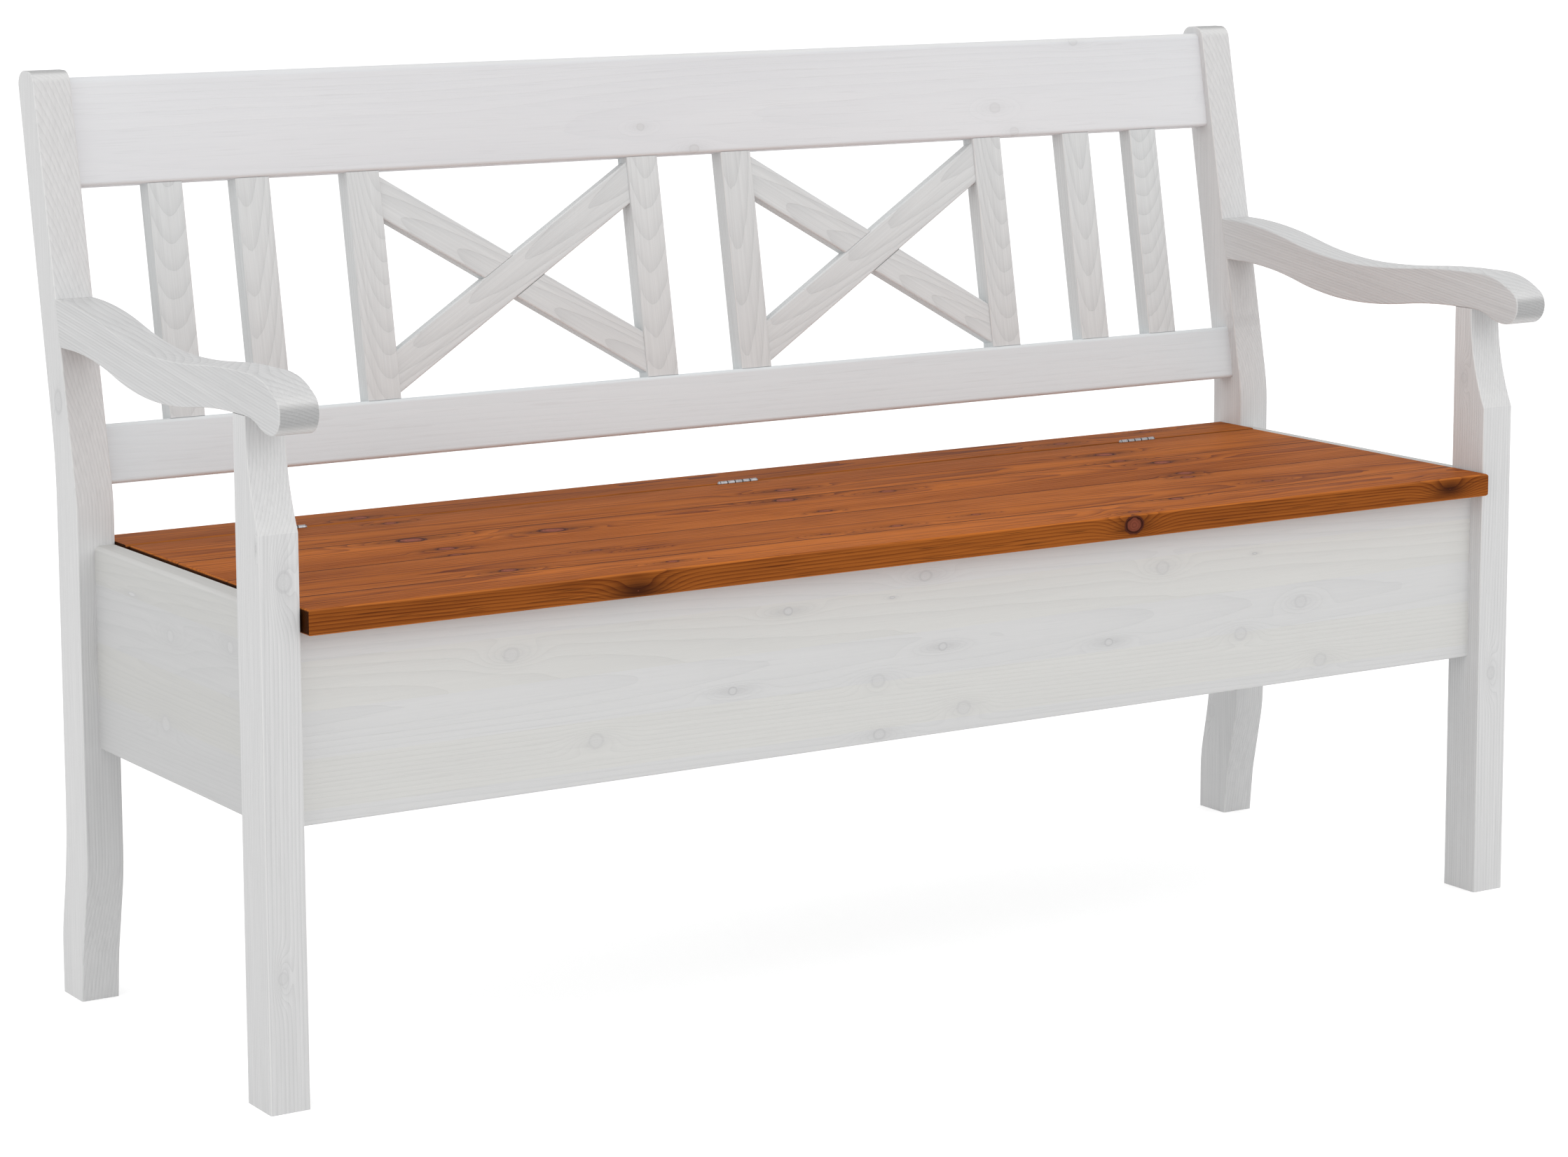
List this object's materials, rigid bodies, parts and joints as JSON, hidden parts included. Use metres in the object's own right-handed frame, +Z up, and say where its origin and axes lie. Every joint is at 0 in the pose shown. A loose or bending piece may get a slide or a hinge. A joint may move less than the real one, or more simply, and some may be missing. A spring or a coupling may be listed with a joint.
{
  "type": "storage settle bench",
  "caption": "Wooden settle bench with armrests, a reclined slatted back with crossed braces, and a storage chest under a hinged lid seat.",
  "frame": {"origin": "on the floor, in the middle of the bench's length and of its overall depth", "axes": "+X along the bench to the sitter's left, which is the right as seen from the front, +Y to the back, +Z up"},
  "size_m": [1.5, 0.589, 0.934],
  "materials": {
    "painted_pine": "white glaze, satin",
    "seat_wood": "stained and oiled, satin",
    "beech_dowel": "raw",
    "hinge_steel": "zinc plated"
  },
  "bodies": {
    "frame": {"armrest_dowels": "beech_dowel", "armrest_left": "painted_pine", "armrest_right": "painted_pine", "bottom_board": "painted_pine", "bottom_cleat_front": "painted_pine", "bottom_cleat_left": "painted_pine", "bottom_cleat_rear": "painted_pine", "bottom_cleat_right": "painted_pine", "brace_dowels": "beech_dowel", "cleat_screws": "hinge_steel", "cross_brace_left_falling": "painted_pine", "cross_brace_left_rising": "painted_pine", "cross_brace_right_falling": "painted_pine", "cross_brace_right_rising": "painted_pine", "front_panel": "painted_pine", "front_post_left": "painted_pine", "front_post_right": "painted_pine", "hinge_leaf_strip_centre": "hinge_steel", "hinge_leaf_strip_left": "hinge_steel", "hinge_leaf_strip_right": "hinge_steel", "hinge_pin_centre": "hinge_steel", "hinge_pin_left": "hinge_steel", "hinge_pin_right": "hinge_steel", "hinge_screws_strip": "hinge_steel", "lower_rail": "painted_pine", "panel_dowels": "beech_dowel", "rail_dowels": "beech_dowel", "rear_panel": "painted_pine", "rear_post_left": "painted_pine", "rear_post_right": "painted_pine", "seat_strip": "seat_wood", "seat_strip_dowels": "beech_dowel", "side_panel_left": "painted_pine", "side_panel_right": "painted_pine", "slat_1": "painted_pine", "slat_2": "painted_pine", "slat_3": "painted_pine", "slat_4": "painted_pine", "slat_5": "painted_pine", "slat_6": "painted_pine", "slat_7": "painted_pine", "slat_8": "painted_pine", "top_rail": "painted_pine"},
    "lid": {"hinge_leaf_lid_centre": "hinge_steel", "hinge_leaf_lid_left": "hinge_steel", "hinge_leaf_lid_right": "hinge_steel", "hinge_screws_lid": "hinge_steel", "lid_board_front": "seat_wood", "lid_board_mid_front": "seat_wood", "lid_board_mid_rear": "seat_wood", "lid_board_rear": "seat_wood"}
  },
  "joints": [
    {"name": "lid_hinge", "type": "hinge", "parent": "frame", "child": "lid", "pos_m": [0, 0.14899, 0.471], "axis": [-1, 0, 0], "range_deg": [0, 104.8]}
  ]
}
